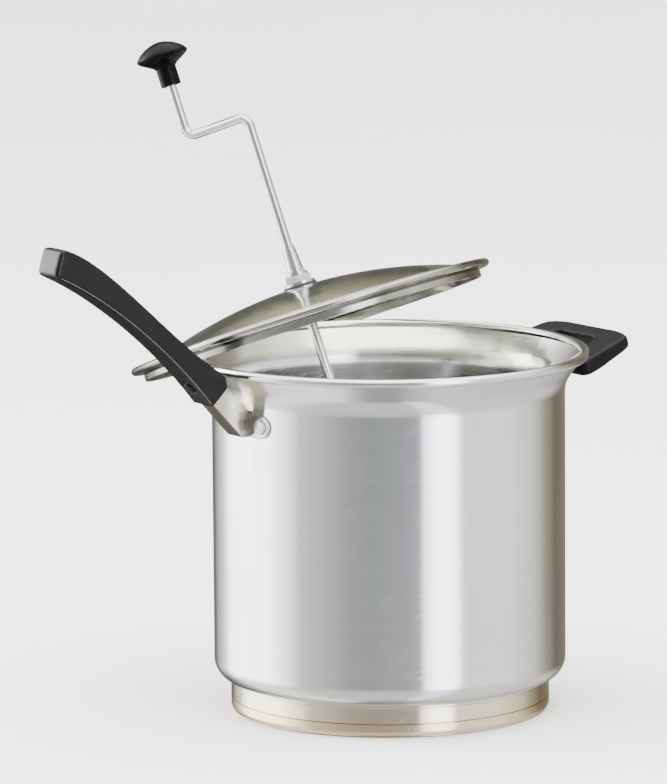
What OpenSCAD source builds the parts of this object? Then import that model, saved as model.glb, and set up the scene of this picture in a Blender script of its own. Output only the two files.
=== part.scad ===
// Stovetop popcorn maker: tall flared pot, long curved handle, helper handle, and a
// domed glass lid set ajar, whose bent crank turns a wire stirrer inside the pot.
// Origin: centre of the flat underside. +Z up, long handle towards -X.

/* [Pot] */
// Outer radius of the straight wall
pot_r = 110.8; // [108:0.1:112]
// Height of the rolled lip above the base
pot_h = 227.8; // [226.8:0.2:229]
// Thickness of the pressed steel sheet
wall_t = 1; // [0.8:0.1:1.2]
// Outer radius of the rolled lip
lip_r = 126.5; // [126:0.1:127]
// Radius of the roll itself
roll_r = 2.9; // [2.6:0.1:3.1]
// Radius of the curve where the wall flares out
flare_r = 20; // [18:0.5:21]
// Angle that the flare turns through
flare_turn = 38; // [34:1:40]
// Outer radius of the narrower foot
foot_r = 100.3; // [99:0.1:101]
// Height of the seam between the foot and the body
seam_z = 19.6; // [18:0.1:21]
// Radius of the rounded lower corner of the body
corner_r = 13; // [12:0.5:14]
// Height of the steel capsule round the base
capsule_h = 8.4; // [7.5:0.1:9]

/* [Long handle] */
// Slope of the handle where it leaves the pot
root_slope = 46.5; // [44:0.5:49]
// Distance of the slope line's start from the pot's axis
root_x = 113.5; // [112.5:0.5:115]
// Height of the slope line's start
root_z = 189.4; // [187:0.2:191]
// Length of the bright sleeve along the slope
sleeve_l = 30; // [26:1:32]
// Width of the sleeve
sleeve_w = 15.5; // [14:0.5:18]
// Width of the black grip
grip_w = 22; // [20:0.5:24]

/* [Helper handle] */
// Distance of the outer bar's outside from the pot's axis
helper_reach = 169; // [166:0.5:174]
// Thickness of the grip
helper_t = 10.5; // [10:0.5:12]
// Upward slope of the grip
helper_slope = 17; // [15:0.5:18]

/* [Lid] */
// Tilt of the lid as it lies ajar
lid_tilt = 19.9; // [19.7:0.1:20]
// Compass direction that the lid leans towards
lid_lean_dir = 113.9; // [113.4:0.1:114.4]
// Sideways shift of the lid from the pot's axis
lid_shift = 59; // [58.6:0.1:59.2]
// Compass direction of that shift
lid_shift_dir = 108.8; // [108.4:0.1:109.2]
// Height of the lid ring's underside above the lip
lid_rise = 12.4; // [12.4:0.1:14]
// Outer radius of the upper ring
ring_r = 118.3; // [118:0.1:118.6]
// Outer radius of the lower ring that drops inside the mouth
skirt_r = 111.1; // [110.5:0.1:111.3]
// Height of the dome
dome_rise = 18; // [17.5:0.1:18.5]
// Thickness of the glass
glass_t = 4; // [3.6:0.1:4]

/* [Crank] */
// Radius of the crank rod
rod_r = 3; // [2.8:0.05:3]
// Height of the first bend above the lid ring's underside
bend_h = 136; // [130:1:140]
// Throw of the crank arm
crank_throw = 47; // [42:1:52]
// Radius of the bends, at the rod's centre line
bend_r = 7; // [6:0.5:9]
// Radius of the mushroom cap
knob_r = 16.8; // [15.5:0.1:18]
// Radius of the knob's stem
stem_r = 6.5; // [6.3:0.1:7]

/* [Stirrer] */
// Depth of the stirrer boss below the lid ring's underside
boss_depth = 215; // [211:0.5:215]
// Reach of each wire arm from the shaft
arm_reach = 76; // [72:1:76]
// Radius of the wire
wire_r = 1.6; // [1.2:0.1:1.8]

/* [Hidden] */
$fn = 96;

eps = 0.02;
floor_t = 1.3;
foot_bottom = capsule_h + 0.1;
floor_z = foot_bottom + floor_t;
neck_r = foot_r - 0.6;
corner_cx = pot_r - corner_r;
corner_cz = seam_z + 13.2;
corner_turn = -75;
flare_cx = pot_r + flare_r;
flare_cz = pot_h - 27;
roll_cx = lip_r - roll_r;
roll_cz = pot_h - roll_r;

core_r = foot_r - 1.2;
cap_t = 0.9;
cap_edge_r = 4;

saddle_r0 = pot_r + 0.05;
saddle_r1 = saddle_r0 + 1.2;
saddle_z = root_z + 2;
rivet_r = 2.4;
rivet_head_r = 4.6;
rivet_y = 18;
ear_r = 7.2;
rivet_turn = asin(rivet_y / saddle_r1);

sleeve_half = 8.5;
sleeve_low = 5.8;
sleeve_t = 1.2;
tang_w = 10;
tang_t = 5;
tang_end = sleeve_l + 26;
screw_at = sleeve_l + 16;
screw_r = 2;
slot_gap = 0.15;

helper_z = 191.8;
helper_plate_h = 13;
helper_plate_half = 38;
helper_root_x = 119.5;
helper_root_z = 203.6;
helper_clear_r = 118.6;
helper_len = (helper_reach - helper_root_x) / cos(helper_slope);
helper_bow_r = 131;
helper_taper = 4.5;
helper_taper_x = 14;
helper_rivet_turn = 9;
lug_y = 26;
lug_half = 3;
lug_low = 3.2;
lug_high = 7.2;
lug_end = 14;
lug_screw_x = 8;
lug_screw_r = 1.6;

lid_z = pot_h + lid_rise;
lid_x = lid_shift * cos(lid_shift_dir);
lid_y = lid_shift * sin(lid_shift_dir);
seat_r = 102;
dome_base = 1;
sphere_r = (seat_r * seat_r + dome_rise * dome_rise) / (2 * dome_rise);
glass_r = 104.5;
ring_h = 5;
skirt_h = 5.3;
hub_hole_r = 7;
dome_in = dome_base + dome_rise;
dome_out = dome_in + glass_t;

bush_r0 = rod_r + 0.07;
bush_r1 = 5.8;
bush_h0 = 12;
bush_h1 = 33;
seal_r = 10.8;
seal_t = 1.2;
hub_nut_r = 9;
hub_nut_h0 = dome_out + seal_t + 0.02;
hub_nut_h1 = hub_nut_h0 + 7.6;
lock_nut_r = 8.4;
lock_nut_h1 = dome_in - 0.25 - seal_t - 0.02;
lock_nut_h0 = lock_nut_h1 - 3.8;

lap = 0.3;
spindle_r = 2.5;
knob_h = bend_h + 34.5;
shoulder_h = knob_h - 0.4;
spindle_top = knob_h + 19;
stem_h = 12.6;
cap_low = 7;
cap_high = 9.2;
knob_bore_r = 4.6;

function arc(cx, cy, r, a0, a1, n) =
    [for (i = [0 : n]) let (a = a0 + (a1 - a0) * i / n) [cx + r * cos(a), cy + r * sin(a)]];

function bezier(a, b, c, d, n) =
    [for (i = [0 : n]) let (t = i / n, s = 1 - t)
        s * s * s * a + 3 * s * s * t * b + 3 * s * t * t * c + t * t * t * d];

// Height of the glass's inner surface at radius r
function dome_z(r) = dome_in - sphere_r + sqrt(sphere_r * sphere_r - r * r);

// ---- shared helpers ----

// Places a piece drawn in the lid's own frame: Z along the shaft, X down the slope
module at_lid() {
    translate([lid_x, lid_y, lid_z])
        rotate([0, 0, lid_lean_dir])
            rotate([0, lid_tilt, 0])
                children();
}

// Draws the handle side with X pointing outwards, then turns it to -X
module at_handle() {
    rotate([0, 0, 180]) children();
}

// X along the handle's slope, starting just outside the wall
module on_slope() {
    translate([root_x, 0, root_z])
        rotate([0, -root_slope, 0])
            children();
}

module tube(r0, r1, h0, h1) {
    translate([0, 0, h0])
        difference() {
            cylinder(r = r1, h = h1 - h0);
            translate([0, 0, -1]) cylinder(r = r0, h = h1 - h0 + 2);
        }
}

module box(x, y, z) {
    translate([x[0], y[0], z[0]]) cube([x[1] - x[0], y[1] - y[0], z[1] - z[0]]);
}

// Rivet through the wall at compass angle a and height z
module wall_rivet(a, z) {
    rotate([0, 0, a]) {
        translate([pot_r - 1.9, 0, z]) rotate([0, 90, 0]) cylinder(r = rivet_r, h = 4.2);
        difference() {
            translate([saddle_r1 - 0.5, 0, z])
                rotate([0, 90, 0])
                    rotate_extrude()
                        polygon(concat([[0, 0], [rivet_head_r, 0]],
                            arc(rivet_head_r - 1.2, 1.1, 1.2, 0, 60, 6), [[0, 2.9]]));
            rotate([0, 0, -a]) cylinder(r = saddle_r1 + eps, h = pot_h);
        }
        intersection() {
            translate([pot_r - 2.6, 0, z]) rotate([0, 90, 0]) cylinder(r = rivet_head_r, h = 4);
            rotate([0, 0, -a]) cylinder(r = pot_r - wall_t - eps, h = pot_h);
        }
    }
}

module wall_rivet_hole(a, z) {
    rotate([0, 0, a])
        translate([pot_r - 5, 0, z])
            rotate([0, 90, 0])
                cylinder(r = rivet_r + 0.03, h = 12);
}

// ---- pot ----

module pot_profile() {
    outer = concat(
        [[0, foot_bottom], [foot_r - 0.6, foot_bottom], [foot_r, foot_bottom + 0.6]],
        [[foot_r, seam_z - 1.2], [neck_r, seam_z - 0.6], [neck_r, seam_z]],
        arc(corner_cx, corner_cz, corner_r, corner_turn, 0, 12),
        arc(flare_cx, flare_cz, flare_r, 180, 180 - flare_turn, 10),
        [[roll_cx - 0.4, roll_cz - 1.2]]
    );
    inner = concat(
        [[roll_cx - 1.2, roll_cz - 0.2]],
        arc(flare_cx, flare_cz, flare_r + wall_t, 180 - flare_turn, 180, 10),
        arc(corner_cx, corner_cz, corner_r - wall_t, 0, corner_turn, 12),
        [[neck_r - wall_t, seam_z + 0.6], [neck_r - wall_t, floor_z + 2]],
        arc(neck_r - wall_t - 2, floor_z + 2, 2, 0, -90, 5),
        [[0, floor_z]]
    );
    polygon(concat(outer, inner));
    translate([roll_cx, roll_cz]) circle(r = roll_r, $fn = 32);
}

module pot_body() {
    color("silver")
        difference() {
            rotate_extrude($fn = 128) pot_profile();
            for (s = [-1, 1]) {
                wall_rivet_hole(180 + s * rivet_turn, saddle_z);
                wall_rivet_hole(s * helper_rivet_turn, helper_z);
            }
        }
}

module base_core() {
    color("gainsboro")
        translate([0, 0, cap_t + 0.05])
            cylinder(r = core_r - 0.1, h = capsule_h - cap_t - 0.05);
}

module base_cap() {
    color("silver")
        rotate_extrude($fn = 128)
            polygon(concat(
                [[0, 0]],
                arc(foot_r - cap_edge_r, cap_edge_r, cap_edge_r, -90, 0, 8),
                [[foot_r, capsule_h], [core_r, capsule_h], [core_r, cap_t], [0, cap_t]]
            ));
}

// ---- long handle ----

module handle_bracket() {
    color("silver")
        at_handle()
            difference() {
                union() {
                    intersection() {
                        tube(saddle_r0, saddle_r1, saddle_z - 20, saddle_z + 20);
                        union() {
                            box([90, 130], [-rivet_y, rivet_y], [saddle_z - ear_r, saddle_z + ear_r]);
                            for (s = [-1, 1])
                                translate([90, s * rivet_y, saddle_z])
                                    rotate([0, 90, 0])
                                        cylinder(r = ear_r, h = 40);
                        }
                    }
                    difference() {
                        on_slope()
                            box([-4, tang_end], [-tang_w / 2, tang_w / 2], [-tang_t / 2, tang_t / 2]);
                        cylinder(r = saddle_r1 - 0.4, h = pot_h);
                    }
                }
                rotate([0, 0, 180])
                    for (s = [-1, 1]) wall_rivet_hole(180 + s * rivet_turn, saddle_z);
                on_slope()
                    translate([screw_at, 0, -tang_t]) cylinder(r = screw_r + 0.03, h = 2 * tang_t);
            }
}

module bracket_rivets() {
    color("gainsboro")
        for (s = [-1, 1]) wall_rivet(180 + s * rivet_turn, saddle_z);
}

module sleeve_side(inset) {
    end = sleeve_l + inset * 3;
    polygon([
        [end, inset - sleeve_low], [end, sleeve_half - inset],
        [-14, sleeve_half - inset], [-14, inset - sleeve_low]
    ]);
}

module handle_ferrule() {
    color("silver")
        at_handle()
            difference() {
                intersection() {
                    on_slope()
                        rotate([90, 0, 0])
                            linear_extrude(sleeve_w, center = true) sleeve_side(0);
                    box([100, 160], [-sleeve_w, sleeve_w], [root_z - 5, pot_h]);
                }
                on_slope()
                    rotate([90, 0, 0])
                        linear_extrude(sleeve_w - 2 * sleeve_t, center = true)
                            sleeve_side(sleeve_t);
                cylinder(r = saddle_r1 + 0.05, h = pot_h);
            }
}

// Side view of the grip: flush with the sleeve on top, a small step below it
module grip_side() {
    butt = sleeve_l + 0.05;
    polygon(concat(
        [[129.6, 223.8], [129.4, 219.8]],
        [[root_x + butt * cos(root_slope) - sleeve_half * sin(root_slope),
          root_z + butt * sin(root_slope) + sleeve_half * cos(root_slope)]],
        [[root_x + butt * cos(root_slope) + sleeve_half * sin(root_slope),
          root_z + butt * sin(root_slope) - sleeve_half * cos(root_slope)]],
        bezier([142.4, 208], [168, 239.3], [212, 277.3], [252, 295.4], 20),
        arc(250.5, 298, 3, -58, 15, 5),
        arc(246.8, 309.8, 3, 15, 115, 6),
        bezier([244.5, 312.1], [212, 300.8], [168, 247.8], [130.6, 225.1], 20)
    ));
}

module long_handle() {
    color([0.05, 0.05, 0.055])
        at_handle()
            difference() {
                rotate([90, 0, 0]) linear_extrude(grip_w, center = true) grip_side();
                on_slope()
                    box([0, tang_end + 1],
                        [-tang_w / 2 - slot_gap, tang_w / 2 + slot_gap],
                        [-tang_t / 2 - slot_gap, tang_t / 2 + slot_gap]);
                on_slope()
                    translate([screw_at, 0, -20]) {
                        cylinder(r = screw_r + 0.1, h = 24);
                        cylinder(r = 4, h = 14);
                    }
            }
}

module handle_screw() {
    color("gainsboro")
        at_handle()
            on_slope()
                translate([screw_at, 0, -6])
                    difference() {
                        union() {
                            translate([0, 0, -2.4]) cylinder(r = 3.8, h = 2.4);
                            cylinder(r = screw_r, h = 8.5);
                        }
                        translate([-0.5, -5, -3]) cube([1, 10, 1.4]);
                    }
}

// ---- helper handle ----

// X outwards along the grip's own slope, Z through its thickness
module on_helper() {
    translate([helper_root_x, 0, helper_root_z])
        rotate([0, -helper_slope, 0])
            children();
}

module helper_bracket() {
    color("silver")
        difference() {
            union() {
                intersection() {
                    tube(saddle_r0, saddle_r1, helper_z - helper_plate_h / 2, helper_z + helper_plate_h / 2);
                    box([80, 130], [-helper_plate_half, helper_plate_half], [0, pot_h]);
                }
                for (s = [-1, 1])
                    difference() {
                        translate([0, s * lug_y, 0]) {
                            box([100, helper_root_x - 4.1], [-lug_half - 0.2, lug_half + 0.2],
                                [helper_z - 3, helper_root_z + 4.4]);
                            on_helper()
                                box([-5, lug_end], [-lug_half, lug_half], [lug_low, lug_high]);
                        }
                        cylinder(r = saddle_r1 - 0.4, h = helper_z + 8);
                        box([90, helper_root_x - 6.2], [-60, 60], [helper_z + 5, pot_h]);
                    }
            }
            for (s = [-1, 1]) {
                wall_rivet_hole(s * helper_rivet_turn, helper_z);
                on_helper()
                    translate([lug_screw_x, s * lug_y, 0])
                        cylinder(r = lug_screw_r + 0.03, h = helper_t);
            }
        }
}

module helper_rivets() {
    color("gainsboro")
        for (s = [-1, 1]) wall_rivet(s * helper_rivet_turn, helper_z);
}

// Outline seen from above: two nose circles at the far end, two root circles at the pot
module helper_outline(nose_at, nose_y, nose_r, root_at, root_y, root_r) {
    hull()
        for (s = [-1, 1]) {
            translate([nose_at, s * nose_y, 0]) cylinder(r = nose_r, h = helper_t + 4, $fn = 40);
            translate([root_at, s * root_y, 0]) cylinder(r = root_r, h = helper_t + 4, $fn = 32);
        }
}

module helper_handle() {
    color([0.05, 0.05, 0.055])
        difference() {
            on_helper()
                difference() {
                    intersection() {
                        translate([0, 0, -2]) helper_outline(helper_len - 17, 31, 13, 5, 44, 5);
                        translate([helper_len - 1.5 - helper_bow_r, 0, -2])
                            cylinder(r = helper_bow_r, h = helper_t + 4, $fn = 240);
                        box([0, helper_len + 1], [-60, 60], [0, helper_t]);
                    }
                    translate([0, 0, -2]) helper_outline(helper_len - 22.8, 15, 6, 20, 17, 6);
                    translate([helper_taper_x, 0, 0])
                        rotate([0, -helper_taper, 0])
                            box([0, 60], [-60, 60], [-12, 0]);
                    for (s = [-1, 1])
                        translate([0, s * lug_y, 0]) {
                            box([-2, lug_end + 0.5], [-lug_half - slot_gap, lug_half + slot_gap],
                                [lug_low - slot_gap, lug_high + slot_gap]);
                            translate([lug_screw_x, 0, -1]) {
                                cylinder(r = lug_screw_r + 0.1, h = 10.2);
                                cylinder(r = 3.3, h = 2.9);
                            }
                        }
                }
            cylinder(r = helper_clear_r, h = pot_h, $fn = 128);
        }
}

module helper_screws() {
    color("gainsboro")
        for (s = [-1, 1])
            on_helper()
                translate([lug_screw_x, s * lug_y, 1.85])
                    difference() {
                        union() {
                            translate([0, 0, -1.6]) cylinder(r = 3.1, h = 1.6);
                            cylinder(r = lug_screw_r, h = 6.2);
                        }
                        translate([-0.5, -5, -2]) cube([1, 10, 1.2]);
                    }
}

// ---- lid ----

module lid_glass() {
    color([0.55, 0.58, 0.48, 0.4])
        at_lid()
            rotate_extrude($fn = 128)
                polygon(concat(
                    [for (i = [0 : 24]) let (r = hub_hole_r + (glass_r - hub_hole_r) * i / 24)
                        [r, dome_z(r)]],
                    [for (i = [24 : -1 : 0]) let (r = hub_hole_r + (glass_r - hub_hole_r) * i / 24)
                        [r, dome_z(r) + glass_t]]
                ));
}

module glass_gasket() {
    color([0.2, 0.2, 0.2])
        at_lid()
            tube(glass_r + 0.05, glass_r + 1.2, 0.1, ring_h);
}

module lid_rim() {
    lip_in = 102.2;
    web_in = glass_r + 1.3;
    color("silver")
        at_lid()
            rotate_extrude($fn = 128)
                polygon(concat(
                    [[101.5, -0.75], [101.5, -0.05], [web_in, -0.05], [web_in, ring_h + 0.05]],
                    [[lip_in, ring_h + 0.05], [lip_in, ring_h + 0.6], [web_in + 1, ring_h + 0.6]],
                    [[web_in + 1.6, ring_h]],
                    arc(ring_r - 2.4, ring_h - 2.4, 2.4, 90, -90, 12),
                    [[web_in + 0.6, 0], [web_in + 0.6, -0.75]]
                ));
}

module lid_skirt() {
    color("silver")
        at_lid()
            rotate_extrude($fn = 128)
                polygon(concat(
                    [[skirt_r - 2.3, -0.05], [skirt_r - 2.3, -skirt_h + 0.8]],
                    arc(skirt_r - 1.5, -skirt_h + 0.8, 0.8, 180, 270, 4),
                    arc(skirt_r - 0.8, -skirt_h + 0.8, 0.8, 270, 360, 4),
                    [[skirt_r, -1.4], [skirt_r - 0.6, -0.05]]
                ));
}

module hub_bushing() {
    color("silver")
        at_lid() tube(bush_r0, bush_r1, bush_h0, bush_h1);
}

module hub_nut() {
    color("silver")
        at_lid()
            difference() {
                union() {
                    translate([0, 0, hub_nut_h0]) cylinder(r = hub_nut_r + 1, h = 1.6);
                    translate([0, 0, hub_nut_h0 + 1.6]) cylinder(r = hub_nut_r, h = 4.4, $fn = 6);
                    translate([0, 0, hub_nut_h0 + 6]) cylinder(r = hub_nut_r - 2, h = 1.6);
                }
                translate([0, 0, hub_nut_h0 - 1]) cylinder(r = bush_r1 + 0.03, h = 12);
            }
}

module hub_seal_upper() {
    color([0.15, 0.15, 0.15])
        at_lid() tube(bush_r1 + 0.1, seal_r, dome_out, dome_out + seal_t);
}

module hub_seal_lower() {
    color([0.15, 0.15, 0.15])
        at_lid() tube(bush_r1 + 0.1, seal_r, dome_in - 0.25 - seal_t, dome_in - 0.25);
}

module hub_lock_nut() {
    color("silver")
        at_lid()
            difference() {
                translate([0, 0, lock_nut_h0])
                    cylinder(r = lock_nut_r, h = lock_nut_h1 - lock_nut_h0, $fn = 6);
                translate([0, 0, lock_nut_h0 - 1]) cylinder(r = bush_r1 + 0.03, h = 8);
            }
}

// ---- crank ----

// A rod that starts up the Z axis and turns towards +X. Each step is
// [straight length, angle turned], and the straight runs end a little inside the bends
module bent_rod(r, steps, i = 0) {
    if (i < len(steps)) {
        run = steps[i][0];
        turn = steps[i][1];
        before = i > 0 ? lap : 0;
        after = turn == 0 ? 0 : lap;
        translate([0, 0, -before]) cylinder(r = r, h = run + before + after, $fn = 48);
        if (turn != 0)
            translate([0, 0, run])
                mirror([turn > 0 ? 1 : 0, 0, 0]) {
                    translate([-bend_r, 0, 0])
                        rotate([90, 0, 0])
                            rotate_extrude(angle = abs(turn))
                                translate([bend_r, 0]) circle(r = r - eps, $fn = 48);
                    translate([bend_r * (cos(turn) - 1), 0, bend_r * sin(abs(turn))])
                        rotate([0, -abs(turn), 0])
                            mirror([turn > 0 ? 1 : 0, 0, 0])
                                bent_rod(r, steps, i + 1);
                }
    }
}

module crank_rod() {
    run_1 = boss_depth - 2 + bend_h - bend_r;
    run_2 = crank_throw - 2 * bend_r;
    run_3 = shoulder_h - bend_h - bend_r;
    color("silver")
        at_lid() {
            translate([0, 0, 2 - boss_depth])
                bent_rod(rod_r, [[run_1, 90], [run_2, -90], [run_3, 0]]);
            translate([crank_throw, 0, shoulder_h - 0.1])
                cylinder(r = spindle_r, h = spindle_top - shoulder_h + 0.1);
        }
}

module shaft_collar_upper() {
    color("silver")
        at_lid()
            translate([0, 0, bush_h1 + 0.5])
                difference() {
                    cylinder(r1 = 5.4, r2 = 3.9, h = 16);
                    translate([0, 0, -1]) cylinder(r = rod_r + 0.03, h = 18);
                }
}

module shaft_collar_lower() {
    color("silver")
        at_lid()
            difference() {
                tube(rod_r + 0.03, 6.5, bush_h0 - 6.5, bush_h0 - 0.5);
                translate([0, 0, bush_h0 - 3.5]) rotate([0, 90, 0]) cylinder(r = 1.55, h = 10);
            }
}

module collar_set_screw() {
    color("dimgray")
        at_lid()
            translate([rod_r + 0.05, 0, bush_h0 - 3.5])
                rotate([0, 90, 0])
                    difference() {
                        cylinder(r = 1.5, h = 3);
                        translate([0, 0, 1.8]) cylinder(r = 0.8, h = 2, $fn = 6);
                    }
}

// ---- stirrer ----

module stirrer_hub() {
    color("silver")
        at_lid()
            difference() {
                translate([0, 0, -boss_depth]) cylinder(r = 7, h = 15);
                translate([0, 0, -boss_depth + 1.98]) cylinder(r = rod_r + 0.03, h = 20);
                translate([0, 0, -boss_depth + 11]) rotate([0, 90, 0]) cylinder(r = 1.55, h = 10);
                for (a = [0, 180])
                    rotate([0, 0, a])
                        translate([0, 0, -boss_depth + wire_r + 0.5])
                            rotate([90, 0, 0])
                                translate([0, 0, 4.5]) cylinder(r = wire_r + 0.03, h = 6);
            }
}

module stirrer_set_screw() {
    color("dimgray")
        at_lid()
            translate([rod_r + 0.05, 0, -boss_depth + 11])
                rotate([0, 90, 0])
                    difference() {
                        cylinder(r = 1.5, h = 3.6);
                        translate([0, 0, 2.4]) cylinder(r = 0.8, h = 2, $fn = 6);
                    }
}

// One sweeping wire, straight out of the boss and then round in an arc
module sweep_wire() {
    arc_r = 32;
    straight = arm_reach - 2 * arc_r - 4.5;
    translate([0, 0, -boss_depth + wire_r + 0.5]) {
        rotate([90, 0, 0])
            translate([0, 0, 4.5]) cylinder(r = wire_r, h = straight, $fn = 32);
        translate([0, -4.5 - straight - arc_r, 0])
            rotate([0, 0, 90])
                rotate_extrude(angle = -200, $fn = 64)
                    translate([arc_r, 0]) circle(r = wire_r, $fn = 32);
    }
}

module stirrer_wire_front() {
    color("silver") at_lid() sweep_wire();
}

module stirrer_wire_back() {
    color("silver") at_lid() rotate([0, 0, 180]) sweep_wire();
}

// ---- knob ----

module at_spindle() {
    at_lid() translate([crank_throw, 0, knob_h]) children();
}

module knob() {
    color([0.04, 0.04, 0.04])
        at_spindle()
            difference() {
                rotate_extrude($fn = 96)
                    polygon(concat(
                        [[0, 0], [stem_r, 0], [stem_r, stem_h - 1.5]],
                        bezier([stem_r, stem_h - 1], [stem_r + 1, stem_h + 1.5],
                            [knob_r - 2.5, stem_h + cap_low - 3.5],
                            [knob_r - 0.4, stem_h + cap_low - 0.8], 8),
                        [[knob_r, stem_h + cap_low]],
                        bezier([knob_r - 0.4, stem_h + cap_low + 1],
                            [knob_r - 3.5, stem_h + cap_low + 5.5],
                            [6, stem_h + cap_low + cap_high], [0, stem_h + cap_low + cap_high], 10)
                    ));
                translate([0, 0, -1]) cylinder(r = knob_bore_r, h = 22);
            }
}

module knob_sleeve() {
    color("silver")
        at_spindle() tube(spindle_r + 0.07, knob_bore_r - 0.03, 0.2, 14.5);
}

module knob_push_nut() {
    color("dimgray")
        at_spindle() tube(spindle_r + 0.02, knob_bore_r - 0.5, 15.2, 16.4);
}

pot_body();
base_core();
base_cap();
handle_bracket();
bracket_rivets();
handle_ferrule();
long_handle();
handle_screw();
helper_bracket();
helper_rivets();
helper_handle();
helper_screws();
lid_glass();
glass_gasket();
lid_rim();
lid_skirt();
hub_bushing();
hub_nut();
hub_seal_upper();
hub_seal_lower();
hub_lock_nut();
crank_rod();
shaft_collar_upper();
shaft_collar_lower();
collar_set_screw();
stirrer_hub();
stirrer_set_screw();
stirrer_wire_front();
stirrer_wire_back();
knob();
knob_sleeve();
knob_push_nut();
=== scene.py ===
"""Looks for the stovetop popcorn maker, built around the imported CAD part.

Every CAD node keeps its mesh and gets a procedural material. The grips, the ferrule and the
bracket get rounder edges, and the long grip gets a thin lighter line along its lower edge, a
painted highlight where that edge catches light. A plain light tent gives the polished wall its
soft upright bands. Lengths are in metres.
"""
import math

import bpy
from mathutils import Matrix, Vector


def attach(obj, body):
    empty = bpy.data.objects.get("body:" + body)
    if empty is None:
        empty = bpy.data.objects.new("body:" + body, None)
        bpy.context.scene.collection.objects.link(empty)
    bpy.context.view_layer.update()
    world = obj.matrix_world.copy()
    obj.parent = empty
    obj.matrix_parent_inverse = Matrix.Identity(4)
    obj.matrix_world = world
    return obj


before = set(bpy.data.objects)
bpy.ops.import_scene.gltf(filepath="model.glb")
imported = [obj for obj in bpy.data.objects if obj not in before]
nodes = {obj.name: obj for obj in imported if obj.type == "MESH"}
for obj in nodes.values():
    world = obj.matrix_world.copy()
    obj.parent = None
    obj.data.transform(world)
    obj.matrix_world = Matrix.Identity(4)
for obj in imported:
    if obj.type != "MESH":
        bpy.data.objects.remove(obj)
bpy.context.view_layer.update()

# ---- the material builder ------------------------------------------------------

NOISE_LOW = 0.3     # noise mostly stays between these two values
NOISE_HIGH = 0.7


def even(value):
    """The same value on all three channels or axes."""
    return (value, value, value)


class Look:
    """A procedural material: one Principled shader and the nodes that feed it."""

    def __init__(self, name, color, roughness, metallic=0.0):
        self.mat = bpy.data.materials.new(name)
        self.mat.use_nodes = True
        self.tree = self.mat.node_tree
        self.shader = self.tree.nodes["Principled BSDF"]
        self.set("Base Color", (*color, 1.0))
        self.set("Roughness", roughness)
        self.set("Metallic", metallic)
        self.coords = self.node("ShaderNodeTexCoord").outputs["Object"]

    def node(self, kind, **settings):
        made = self.tree.nodes.new(kind)
        for key, value in settings.items():
            setattr(made, key, value)
        return made

    def link(self, a, b):
        self.tree.links.new(a, b)

    def set(self, socket, value):
        self.shader.inputs[socket].default_value = value

    def stretched(self, scale, turn=(0, 0, 0)):
        """Object coordinates turned, then scaled along each axis."""
        spin = self.node("ShaderNodeMapping")
        spin.inputs["Rotation"].default_value = [math.radians(a) for a in turn]
        size = self.node("ShaderNodeMapping")
        size.inputs["Scale"].default_value = scale
        self.link(self.coords, spin.inputs["Vector"])
        self.link(spin.outputs[0], size.inputs["Vector"])
        return size.outputs[0]

    def noise(self, scale, detail=4.0, rough=0.55, turn=(0, 0, 0), distortion=0.0):
        """Noise with scale cells per metre along each axis, after a turn in degrees."""
        tex = self.node("ShaderNodeTexNoise")
        tex.inputs["Scale"].default_value = 1.0
        tex.inputs["Detail"].default_value = detail
        tex.inputs["Roughness"].default_value = rough
        tex.inputs["Distortion"].default_value = distortion
        self.link(self.stretched(scale, turn), tex.inputs["Vector"])
        return tex.outputs["Fac"]

    def ramp(self, source, low, high, lo_in=NOISE_LOW, hi_in=NOISE_HIGH):
        """source between lo_in and hi_in becomes low to high."""
        move = self.node("ShaderNodeMapRange")
        for key, value in (("From Min", lo_in), ("From Max", hi_in),
                           ("To Min", low), ("To Max", high)):
            move.inputs[key].default_value = value
        self.link(source, move.inputs["Value"])
        return move.outputs["Result"]

    def combine(self, kind, a, b):
        """One maths step on two values, each a number or a socket."""
        step = self.node("ShaderNodeMath", operation=kind)
        for slot, value in zip(step.inputs, (a, b)):
            if isinstance(value, (int, float)):
                slot.default_value = value
            else:
                self.link(value, slot)
        return step.outputs[0]

    def tint(self, source, first, second, lo_in=NOISE_LOW, hi_in=NOISE_HIGH):
        """A colour that goes from first to second as source rises."""
        ramp = self.node("ShaderNodeValToRGB")
        ramp.color_ramp.elements[0].position = lo_in
        ramp.color_ramp.elements[1].position = hi_in
        ramp.color_ramp.elements[0].color = (*first, 1.0)
        ramp.color_ramp.elements[1].color = (*second, 1.0)
        self.link(source, ramp.inputs["Fac"])
        return ramp.outputs["Color"]

    def color(self, source):
        self.link(source, self.shader.inputs["Base Color"])

    def rough(self, source):
        self.link(source, self.shader.inputs["Roughness"])

    def bump(self, source, distance, strength, under=None):
        """Raises the surface by source, on top of the bump under, and returns its normal."""
        node = self.node("ShaderNodeBump")
        node.inputs["Strength"].default_value = strength
        node.inputs["Distance"].default_value = distance
        self.link(source, node.inputs["Height"])
        if under is not None:
            self.link(under, node.inputs["Normal"])
        self.link(node.outputs["Normal"], self.shader.inputs["Normal"])
        return node.outputs["Normal"]


# ---- the materials -------------------------------------------------------------

STEEL_BUMP = 0.00002
SMEARS = (9, 9, 6)
SCRATCHES = (60, 60, 700)
SCRATCH_TURN = (35, 20, 0)
SCRATCH_PEAKS = (0.64, 0.72)    # only the noise's peaks count as scratches
SMOOTHEST = 0.05
FOOT_TOP = (0.0182, 0.0198)     # the foot's heat tint fades out between these heights
FOOT_WALL = (0.0989, 0.0995)    # and between these radii, so the pot's inside stays plain


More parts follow.
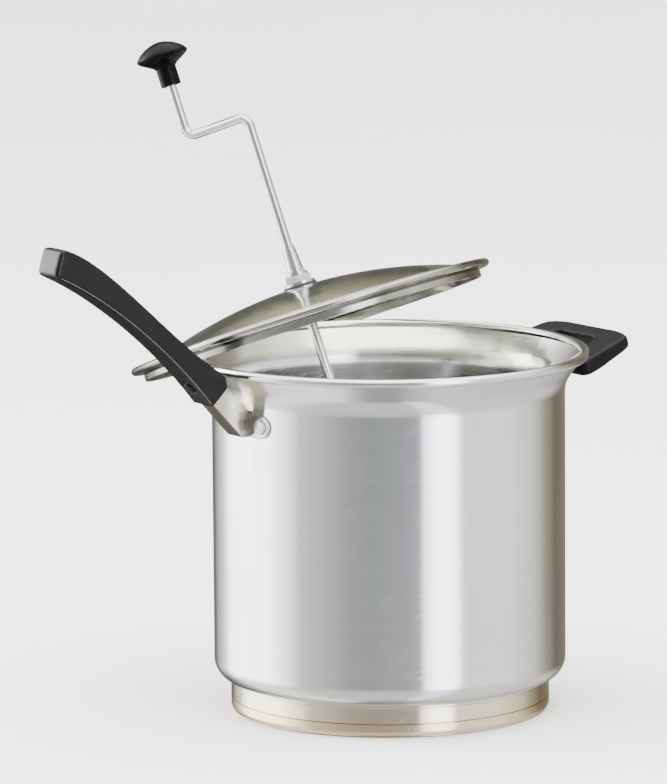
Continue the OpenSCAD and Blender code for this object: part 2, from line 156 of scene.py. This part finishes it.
def heat_tinted(look, smears, plain, foot):
    """The plain colour, but the warmer foot colour on the outside below the seam."""
    place = look.node("ShaderNodeSeparateXYZ")
    look.link(look.coords, place.inputs[0])
    above = look.ramp(place.outputs["Z"], 0.0, 1.0, *FOOT_TOP)
    squares = [look.combine("MULTIPLY", place.outputs[k], place.outputs[k]) for k in "XY"]
    radius = look.combine("SQRT", look.combine("ADD", *squares), 0.0)
    inside = look.ramp(radius, 1.0, 0.0, *FOOT_WALL)
    warm = look.node("ShaderNodeMix", data_type="RGBA")
    look.link(look.combine("MAXIMUM", above, inside), warm.inputs["Factor"])
    look.link(look.tint(smears, tuple(0.92 * c for c in foot), foot), warm.inputs["A"])
    look.link(plain, warm.inputs["B"])
    return warm.outputs["Result"]


def steel(name, dark, light, rough, grain, turn=(0, 0, 0), aniso=0.0, smear=0.1, streak=0.07,
          foot=None):
    """Polished or drawn steel: fine lines along the grain, soft smears, a few scratches.

    smear and streak are how far the smears and the lines change the roughness. foot is the
    warmer colour of a heat-tinted foot."""
    look = Look(name, light, rough, 1.0)
    smears = look.noise(SMEARS, detail=3.0, distortion=0.6)
    lines = look.noise(grain, detail=6.0, rough=0.7, turn=turn)
    scratches = look.noise(SCRATCHES, detail=2.0, rough=0.4, turn=SCRATCH_TURN)
    body = look.tint(smears, dark, light)
    if foot:
        body = heat_tinted(look, smears, body, foot)
    look.color(body)
    soft = look.ramp(smears, -smear, smear)
    fine = look.ramp(lines, rough - streak, rough + streak)
    marks = look.ramp(scratches, 0.0, 0.08, *SCRATCH_PEAKS)
    total = look.combine("ADD", look.combine("ADD", fine, soft), marks)
    look.rough(look.combine("MAXIMUM", total, SMOOTHEST))
    under = look.bump(lines, STEEL_BUMP, 0.6)
    look.bump(scratches, STEEL_BUMP * 0.5, 0.3, under)
    if aniso:
        look.set("Anisotropic", aniso)
        look.set("Anisotropic Rotation", 0.25)
        tangent = look.node("ShaderNodeTangent", direction_type="RADIAL", axis="Z")
        look.link(tangent.outputs[0], look.shader.inputs["Tangent"])
    return look


def black_plastic(name, color, rough, grain, bump, shine):
    """Moulded phenolic: a faint skin texture, handling polish and pale dust in the pores."""
    look = Look(name, color, rough)
    wear = look.noise(even(14), detail=3.0, distortion=0.4)
    skin = look.noise(even(grain), detail=3.0, rough=0.6)
    dust = look.noise(even(140), detail=5.0, rough=0.7)
    worn = tuple(1.9 * c + 0.0016 for c in color)
    look.color(look.tint(look.combine("MULTIPLY", wear, dust), color, worn, 0.12, 0.42))
    body = look.ramp(wear, rough - 0.07, rough + 0.09)
    look.rough(look.combine("ADD", body, look.ramp(skin, -0.03, 0.03)))
    look.bump(skin, bump, 0.5)
    look.set("Specular IOR Level", shine)
    return look


def rubber(name, color):
    """Dark silicone, a little dusty."""
    look = Look(name, color, 0.62)
    skin = look.noise(even(900), detail=3.0)
    spots = look.noise(even(60))
    look.color(look.tint(spots, color, tuple(1.7 * c for c in color)))
    look.rough(look.ramp(spots, 0.52, 0.74))
    look.bump(skin, 0.00005, 0.5)
    return look


GLASS_IOR = 1.5


def lid_glass(name):
    """Tempered glass with a faint olive tint, slight waves and handling smears."""
    look = Look(name, (0.54, 0.535, 0.41), 0.03)
    smears = look.noise(even(16), detail=5.0, distortion=0.8)
    waves = look.noise(even(22), detail=1.0)
    look.color(look.tint(smears, (0.58, 0.575, 0.44), (0.68, 0.67, 0.54)))
    look.rough(look.ramp(smears, 0.02, 0.14, 0.45, 0.75))
    look.bump(waves, 0.0002, 0.15)
    look.set("Transmission Weight", 1.0)
    look.set("IOR", GLASS_IOR)
    return look


RINGS = (4, 4, 900)    # fine polishing lines round the pot

# Each steel has its name, darker and lighter colour, roughness and grain
MATS = {
    "pot": steel("pot_steel", even(0.71), even(0.77), 0.15, RINGS, aniso=0.9, smear=0.015,
                 streak=0.035, foot=(0.78, 0.69, 0.52)),
    "base": steel("base_steel", (0.72, 0.53, 0.33), (0.86, 0.69, 0.47), 0.2, RINGS, aniso=0.7,
                  smear=0.03),
    "core": steel("core_aluminium", (0.70, 0.70, 0.71), (0.80, 0.80, 0.81), 0.45, (300, 300, 20)),
    "bracket": steel("bracket_steel", (0.40, 0.41, 0.43), (0.52, 0.53, 0.55), 0.16, (400, 30, 400)),
    # The sleeve steel's olive-gold tint is a painted reflection: it stands in for the golden light
    # the ferrule mirrors
    "sleeve": steel("sleeve_steel", (0.44, 0.41, 0.29), (0.54, 0.51, 0.40), 0.15, (40, 700, 40),
                    turn=(0, 43, 0)),
    "rivet": steel("rivet_steel", (0.55, 0.55, 0.56), even(0.68), 0.3, even(300)),
    "screw": steel("screw_steel", (0.50, 0.50, 0.54), (0.62, 0.62, 0.66), 0.34, even(500)),
    "black_screw": steel("screw_blackened", (0.03, 0.03, 0.032), (0.05, 0.05, 0.052), 0.42,
                         even(500)),
    # The rim's very dark brownish lower colour is partly painted reflection: it stands in for the
    # dark surroundings the ring mirrors, spread at random by the smears
    "rim": steel("rim_steel", (0.20, 0.19, 0.155), (0.54, 0.53, 0.49), 0.13, (30, 30, 500)),
    "hub": steel("hub_steel", (0.60, 0.60, 0.62), (0.75, 0.75, 0.77), 0.16, (90, 90, 1200)),
    "rod": steel("crank_steel", (0.62, 0.62, 0.64), (0.80, 0.80, 0.81), 0.16, (700, 700, 40)),
    "collar": steel("collar_steel", (0.58, 0.58, 0.60), (0.72, 0.72, 0.73), 0.26, (90, 90, 1400)),
    "wire": steel("wire_steel", (0.56, 0.55, 0.54), (0.70, 0.70, 0.69), 0.24, (700, 700, 100)),
    "handle": black_plastic("handle_black", (0.0012, 0.0013, 0.0016), 0.29, grain=1400,
                            bump=0.00004, shine=0.22),
    # A lighter grey for the thin line on the grip's lower edge: a painted highlight where that edge
    # catches light
    "line": black_plastic("handle_painted_highlight", even(0.06), 0.3, grain=900, bump=0.00001, shine=0.5),
    "helper": black_plastic("helper_black", (0.0012, 0.0012, 0.0013), 0.42, grain=1400,
                            bump=0.00004, shine=0.12),
    "knob": black_plastic("knob_black", (0.0008, 0.0008, 0.0009), 0.27, grain=700,
                          bump=0.00006, shine=0.07),
    "seal": rubber("seal_rubber", even(0.03)),
    "glass": lid_glass("lid_glass_clear"),
}

# Which material each node wears
WEARS = {
    "pot_body": "pot", "base_core": "core", "base_cap": "base",
    "handle_bracket": "bracket", "bracket_rivets": "rivet", "handle_ferrule": "sleeve",
    "long_handle": "handle", "handle_screw": "black_screw",
    "helper_bracket": "bracket", "helper_rivets": "rivet",
    "helper_handle": "helper", "helper_screws": "black_screw",
    "lid_glass": "glass", "glass_gasket": "seal", "lid_rim": "rim", "lid_skirt": "rim",
    "hub_bushing": "hub", "hub_nut": "hub", "hub_lock_nut": "hub",
    "hub_seal_upper": "seal", "hub_seal_lower": "seal",
    "crank_rod": "rod", "shaft_collar_upper": "collar", "shaft_collar_lower": "collar",
    "collar_set_screw": "screw", "stirrer_hub": "collar", "stirrer_set_screw": "screw",
    "stirrer_wire_front": "wire", "stirrer_wire_back": "wire",
    "knob": "knob", "knob_sleeve": "sleeve", "knob_push_nut": "screw",
}
for node_name, key in WEARS.items():
    for material_slot in nodes[node_name].material_slots:
        material_slot.material = MATS[key].mat

# ---- rounder edges on the CAD nodes ---------------------------------------------

SAME_POINT = 0.00001
SHARP_EDGE = math.radians(32)


def soften(name, width):
    """Rounds a CAD node's sharp edges and leaves its flat faces where they are."""
    modifiers = nodes[name].modifiers
    modifiers.new("weld", "WELD").merge_threshold = SAME_POINT
    bevel = modifiers.new("round", "BEVEL")
    bevel.width = width
    bevel.segments = 3
    bevel.limit_method = "ANGLE"
    bevel.angle_limit = SHARP_EDGE
    bevel.harden_normals = True


def melt(name, voxel, passes):
    """Rebuilds a moulded CAD node's skin as an even mesh and relaxes it, so every edge is round."""
    modifiers = nodes[name].modifiers
    skin = modifiers.new("skin", "REMESH")
    skin.mode = "VOXEL"
    skin.voxel_size = voxel
    skin.use_smooth_shade = True
    relax = modifiers.new("relax", "SMOOTH")
    relax.factor = 0.5
    relax.iterations = passes


# The ferrule and the bracket are sheet, which a new skin would tear, so they get a bevel
melt("helper_handle", 0.0007, 60)
melt("long_handle", 0.0008, 40)
soften("handle_ferrule", 0.0012)
soften("handle_bracket", 0.0008)

# ---- the painted highlight line along the long grip's lower edge ---------------

LINE_R = 0.00022
LINE_STEP = 0.003
LINE_FROM_TIP = 0.0036
LINE_FROM_ROOT = 0.0125
LINE_SUNK = 0.0002          # how far its centre lies inside the grip's near side
LINE_ABOVE_EDGE = 0.0011
ON_SIDE = 0.0001            # edges this near to the near side lie in it
UPRIGHT = 0.00001           # edges narrower than this along X say nothing about height


def line_points():
    """Points along the near side of the grip, a little above that side's lower edge."""
    grip = nodes["long_handle"].data
    near = min(v.co.y for v in grip.vertices)
    edges = []
    for edge in grip.edges:
        a, b = sorted((grip.vertices[i].co for i in edge.vertices), key=lambda co: co.x)
        if max(a.y, b.y) < near + ON_SIDE and b.x - a.x > UPRIGHT:
            edges.append((a, b))
    start = min(a.x for a, b in edges) + LINE_FROM_TIP
    end = max(b.x for a, b in edges) - LINE_FROM_ROOT
    for i in range(int((end - start) / LINE_STEP) + 1):
        x = start + LINE_STEP * i
        lowest = min(a.z + (b.z - a.z) * (x - a.x) / (b.x - a.x) for a, b in edges
                     if a.x <= x <= b.x)
        yield (x, near + LINE_SUNK, lowest + LINE_ABOVE_EDGE)


points = list(line_points())
# A thin tube, lighter than the grip: a painted highlight where the grip's lower edge catches light
line_data = bpy.data.curves.new("grip_painted_highlight_line", "CURVE")
line_data.dimensions = "3D"
line_data.bevel_depth = LINE_R
line_data.bevel_resolution = 2
thread = line_data.splines.new("POLY")
thread.points.add(len(points) - 1)
for knot, place in zip(thread.points, points):
    knot.co = (*place, 1.0)
line = bpy.data.objects.new("grip_painted_highlight_line", line_data)
bpy.context.scene.collection.objects.link(line)
line_data.materials.append(MATS["line"].mat)
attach(line, "pot")

# ---- camera ----------------------------------------------------------------

AZIMUTH = math.radians(-36)         # the camera's bearing: 0 looks along +Y
ELEVATION = math.radians(10.45)
ROLL = math.radians(-0.35)
DISTANCE = 4.0
PIVOT = Vector((0, 0, 0.1128))      # the camera is DISTANCE from this point
AIM_LEFT = 0.0345                   # the view's centre is this far left of PIVOT
AIM_ABOVE = 0.0865                  # and this far above it
SENSOR = 36
LENS = 343.2
SEES_TO = 50


def outward(azimuth, elevation):
    """The unit vector from the pot towards a bearing and a height, both in radians."""
    return Vector((math.sin(azimuth) * math.cos(elevation),
                   -math.cos(azimuth) * math.cos(elevation), math.sin(elevation)))


back = outward(AZIMUTH, ELEVATION)
right = Vector((math.cos(AZIMUTH), math.sin(AZIMUTH), 0))
up = back.cross(right)
seen_from = PIVOT + back * DISTANCE
aim = PIVOT - right * AIM_LEFT + up * AIM_ABOVE
out = (seen_from - aim).normalized()
side = up.cross(out).normalized()
facing = Matrix((side, out.cross(side), out)).transposed().to_4x4()
camera_data = bpy.data.cameras.new("camera")
camera_data.sensor_fit = "HORIZONTAL"
camera_data.sensor_width = SENSOR
camera_data.lens = LENS
camera_data.clip_end = SEES_TO
camera = bpy.data.objects.new("camera", camera_data)
bpy.context.scene.collection.objects.link(camera)
camera.matrix_world = Matrix.Translation(seen_from) @ facing @ Matrix.Rotation(ROLL, 4, "Z")
bpy.context.scene.camera = camera

# ---- floor and lamps -----------------------------------------------------------

FLOOR_SIZE = 40
LAMPS_AIM = Vector((0, 0, 0.15))

bpy.ops.mesh.primitive_plane_add(size=FLOOR_SIZE)
floor = bpy.context.object
floor.name = "floor"
paper = Look("floor_paper", (0.86, 0.86, 0.85), 0.7)
tone = paper.noise(even(3), detail=2.0)
paper.color(paper.tint(tone, (0.85, 0.85, 0.845), (0.88, 0.88, 0.875)))
floor.data.materials.append(paper.mat)
floor.visible_glossy = False    # the steel sees the light tent's table instead


def softbox(name, azimuth, elevation, distance, wide, high, power, shows=True):
    """An area light by its bearing from the camera's side. shows lets the steel mirror it."""
    spot = outward(AZIMUTH + math.radians(azimuth), math.radians(elevation))
    data = bpy.data.lights.new(name, "AREA")
    data.shape = "RECTANGLE"
    data.size = wide
    data.size_y = high
    data.energy = power
    lamp = bpy.data.objects.new(name, data)
    lamp.visible_glossy = shows
    lamp.location = LAMPS_AIM + spot * distance
    lamp.rotation_euler = spot.to_track_quat("Z", "Y").to_euler()
    bpy.context.scene.collection.objects.link(lamp)


# Name, bearing and height in degrees, distance, width, height, watts
softbox("soft_left", -107, 15, 1.7, 0.6, 1.2, 20)
softbox("soft_top", 20, 80, 2.4, 2.6, 2.6, 30)
softbox("floor_wash", 0, 86, 3.2, 4.0, 4.0, 260, shows=False)

# ---- the light tent --------------------------------------------------------------

# The tent's walls as the steel sees them: a bearing in degrees, with 0 on the camera's side and
# plus to the right, and the light's colour there
WALLS = (
    (-180, (0.14, 0.14, 0.13)), (-160, (0.22, 0.22, 0.20)), (-150, (0.80, 0.80, 0.74)),
    (-138, (1.6, 1.7, 1.6)), (-126, (5.8, 6.0, 5.7)), (-88, (6.2, 6.4, 6.3)),
    (-76, (3.6, 3.8, 3.8)),
    (-60, (1.15, 1.22, 1.20)), (-44, (0.85, 0.88, 0.85)), (-28, (0.54, 0.57, 0.55)),
    (-12, (0.43, 0.47, 0.46)), (10, (0.52, 0.54, 0.58)), (20.5, (0.68, 0.69, 0.75)),
    (22.5, (3.0, 3.1, 3.4)), (31, (6.8, 6.9, 7.8)), (42, (6.8, 6.9, 7.8)),
    (49, (1.75, 1.82, 1.92)), (84, (1.75, 1.80, 1.76)), (108, (1.15, 1.16, 1.08)),
    (122, (0.52, 0.48, 0.38)), (138, (0.22, 0.19, 0.15)), (164, (0.30, 0.26, 0.20)),
)
# The table round the pot, dark only behind it
TABLE = (
    (-180, even(0.10)), (-150, even(0.12)), (-112, (1.20, 1.18, 1.15)),
    (140, (1.30, 1.28, 1.24)), (168, even(0.30)),
)
CEILING = even(4.2)
BELOW = even(0.48)


def studio(name):
    """The tent: upright bands all round, an even ceiling, and a table that darkens behind."""
    tent = bpy.data.worlds.new(name)
    tent.use_nodes = True
    tree = tent.node_tree

    def add(kind, *sources, **settings):
        made = tree.nodes.new(kind)
        for key, value in settings.items():
            setattr(made, key, value)
        for slot, source in zip(made.inputs, sources):
            tree.links.new(source, slot)
        return made

    def span(source, low, high, top):
        """source between low and high becomes 0 to top."""
        made = add("ShaderNodeMapRange", source)
        made.inputs["From Min"].default_value = low
        made.inputs["From Max"].default_value = high
        made.inputs["To Max"].default_value = top
        return made.outputs["Result"]

    facing_camera = add("ShaderNodeMapping", add("ShaderNodeTexCoord").outputs["Generated"])
    facing_camera.inputs["Rotation"].default_value[2] = math.radians(90) - AZIMUTH
    ray = add("ShaderNodeSeparateXYZ", facing_camera.outputs[0]).outputs
    bearing = add("ShaderNodeMath", ray["Y"], ray["X"], operation="ARCTAN2").outputs[0]
    around = span(bearing, -math.pi, math.pi, 1.0)

    def bands(table):
        """The table's colours by bearing, blended from each to the next."""
        ramp = add("ShaderNodeValToRGB", around)
        stops = ramp.color_ramp.elements
        for stop, (angle, color) in zip(stops, (table[0], table[-1])):
            stop.position = angle / 360 + 0.5
            stop.color = (*color, 1.0)
        for angle, color in table[1:-1]:
            stops.new(angle / 360 + 0.5).color = (*color, 1.0)
        return ramp.outputs["Color"]

    def cover(under, color, low, high, top=1.0):
        """under, covered by color as the ray's upward part goes from low to high."""
        mix = add("ShaderNodeMix", data_type="RGBA")
        tree.links.new(span(ray["Z"], low, high, top), mix.inputs["Factor"])
        tree.links.new(under, mix.inputs["A"])
        if isinstance(color, tuple):
            mix.inputs["B"].default_value = (*color, 1.0)
        else:
            tree.links.new(color, mix.inputs["B"])
        return mix.outputs["Result"]

    seen = cover(bands(WALLS), CEILING, 0.5, 0.85)
    seen = cover(seen, bands(TABLE), -0.26, -0.42, 0.82)
    seen = cover(seen, BELOW, -0.965, -0.992)
    tree.links.new(seen, tree.nodes["Background"].inputs["Color"])
    return tent


bpy.context.scene.world = studio("light_tent")
